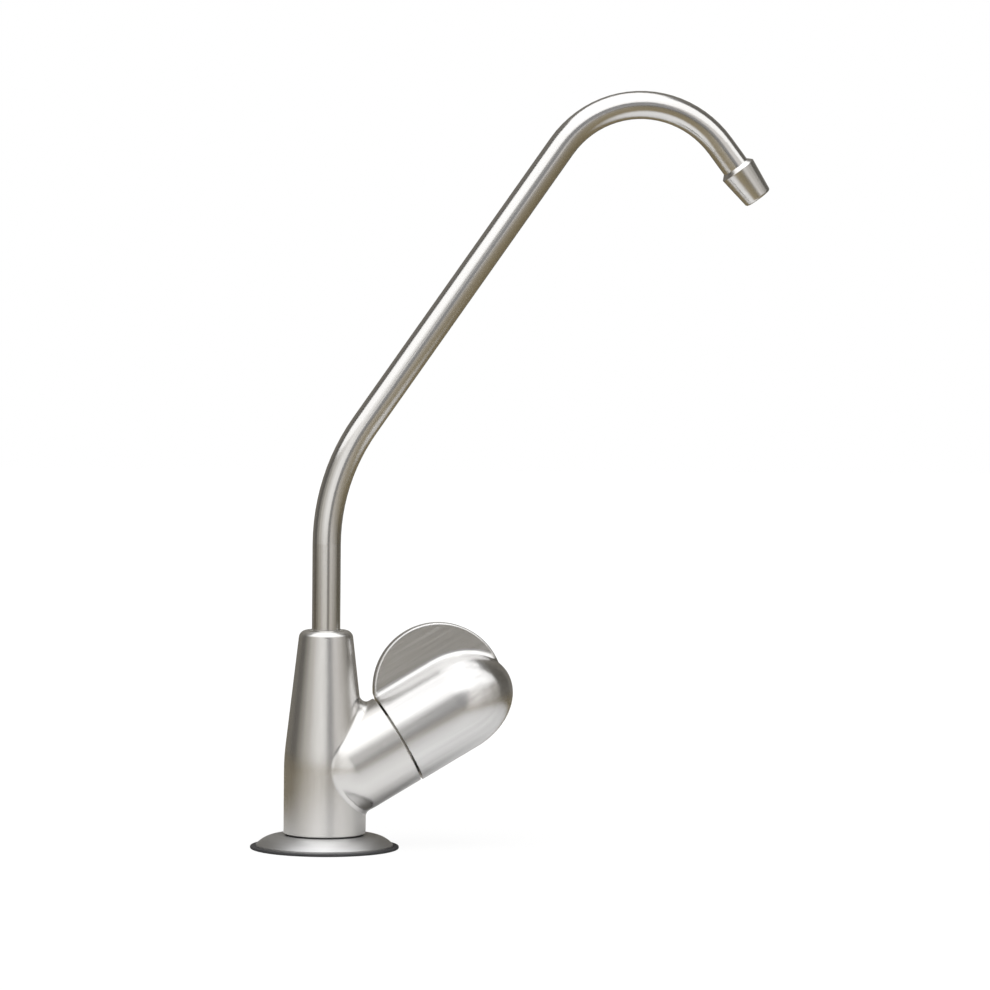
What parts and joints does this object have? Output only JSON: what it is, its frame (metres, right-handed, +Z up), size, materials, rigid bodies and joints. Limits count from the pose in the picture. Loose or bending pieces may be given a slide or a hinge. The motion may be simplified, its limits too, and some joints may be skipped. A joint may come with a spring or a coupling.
{
  "type": "drinking water filter tap",
  "caption": "Deck-mounted filter tap with a tapered column, a slanted quarter-turn valve with a finned bullet-shaped knob, and a swivelling gooseneck spout.",
  "frame": {"origin": "centre of the base gasket's underside, on the deck, on the column's axis", "axes": "+Z up along the column, +X towards the outlet and the valve arm at rest, +Y away from the viewer of the picture"},
  "size_m": [0.176, 0.05, 0.3123],
  "materials": {
    "body_nickel": "satin nickel, brushed along the column",
    "dish_nickel": "satin nickel, spun",
    "knob_nickel": "satin nickel, brushed along the arm",
    "tube_nickel": "satin nickel, brushed along the tube",
    "nozzle_nickel": "satin nickel, turned",
    "plain_nickel": "plain nickel plate",
    "spring_steel": "plain spring steel",
    "yellow_brass": "machined brass",
    "black_rubber": "moulded rubber",
    "dark_plastic": "moulded, matt",
    "white_plastic": "moulded acetal, matt",
    "white_ceramic": "lapped ceramic"
  },
  "bodies": {
    "tap": {"tap_body": "body_nickel", "escutcheon": "dish_nickel", "base_gasket": "black_rubber", "foot_washer": "dark_plastic", "threaded_shank": "plain_nickel", "shank_seal": "black_rubber", "deck_washer": "dark_plastic", "lock_washer": "spring_steel", "deck_nut": "plain_nickel", "cartridge_body": "plain_nickel", "face_seal": "black_rubber", "seat_seal": "black_rubber", "fixed_disc": "white_ceramic", "spout_bushing": "white_plastic"},
    "handle": {"knob": "knob_nickel", "knob_insert": "white_plastic", "knob_set_screw": "spring_steel", "valve_stem": "yellow_brass", "moving_disc": "white_ceramic", "stem_o_rings": "black_rubber", "stem_clip": "spring_steel", "thrust_washer": "white_plastic"},
    "spout": {"spout_tube": "tube_nickel", "spout_tail": "yellow_brass", "spout_o_rings": "black_rubber", "spout_snap_ring": "spring_steel", "nozzle": "nozzle_nickel"}
  },
  "joints": [
    {"name": "handle_turn", "type": "hinge", "parent": "tap", "child": "handle", "pos_m": [0, 0, 0.0223], "axis": [0.8616, 0, 0.5075], "range_deg": [0, 90]},
    {"name": "spout_swivel", "type": "hinge", "parent": "tap", "child": "spout", "pos_m": [0, 0, 0.1], "axis": [0, 0, 1], "continuous": true}
  ]
}
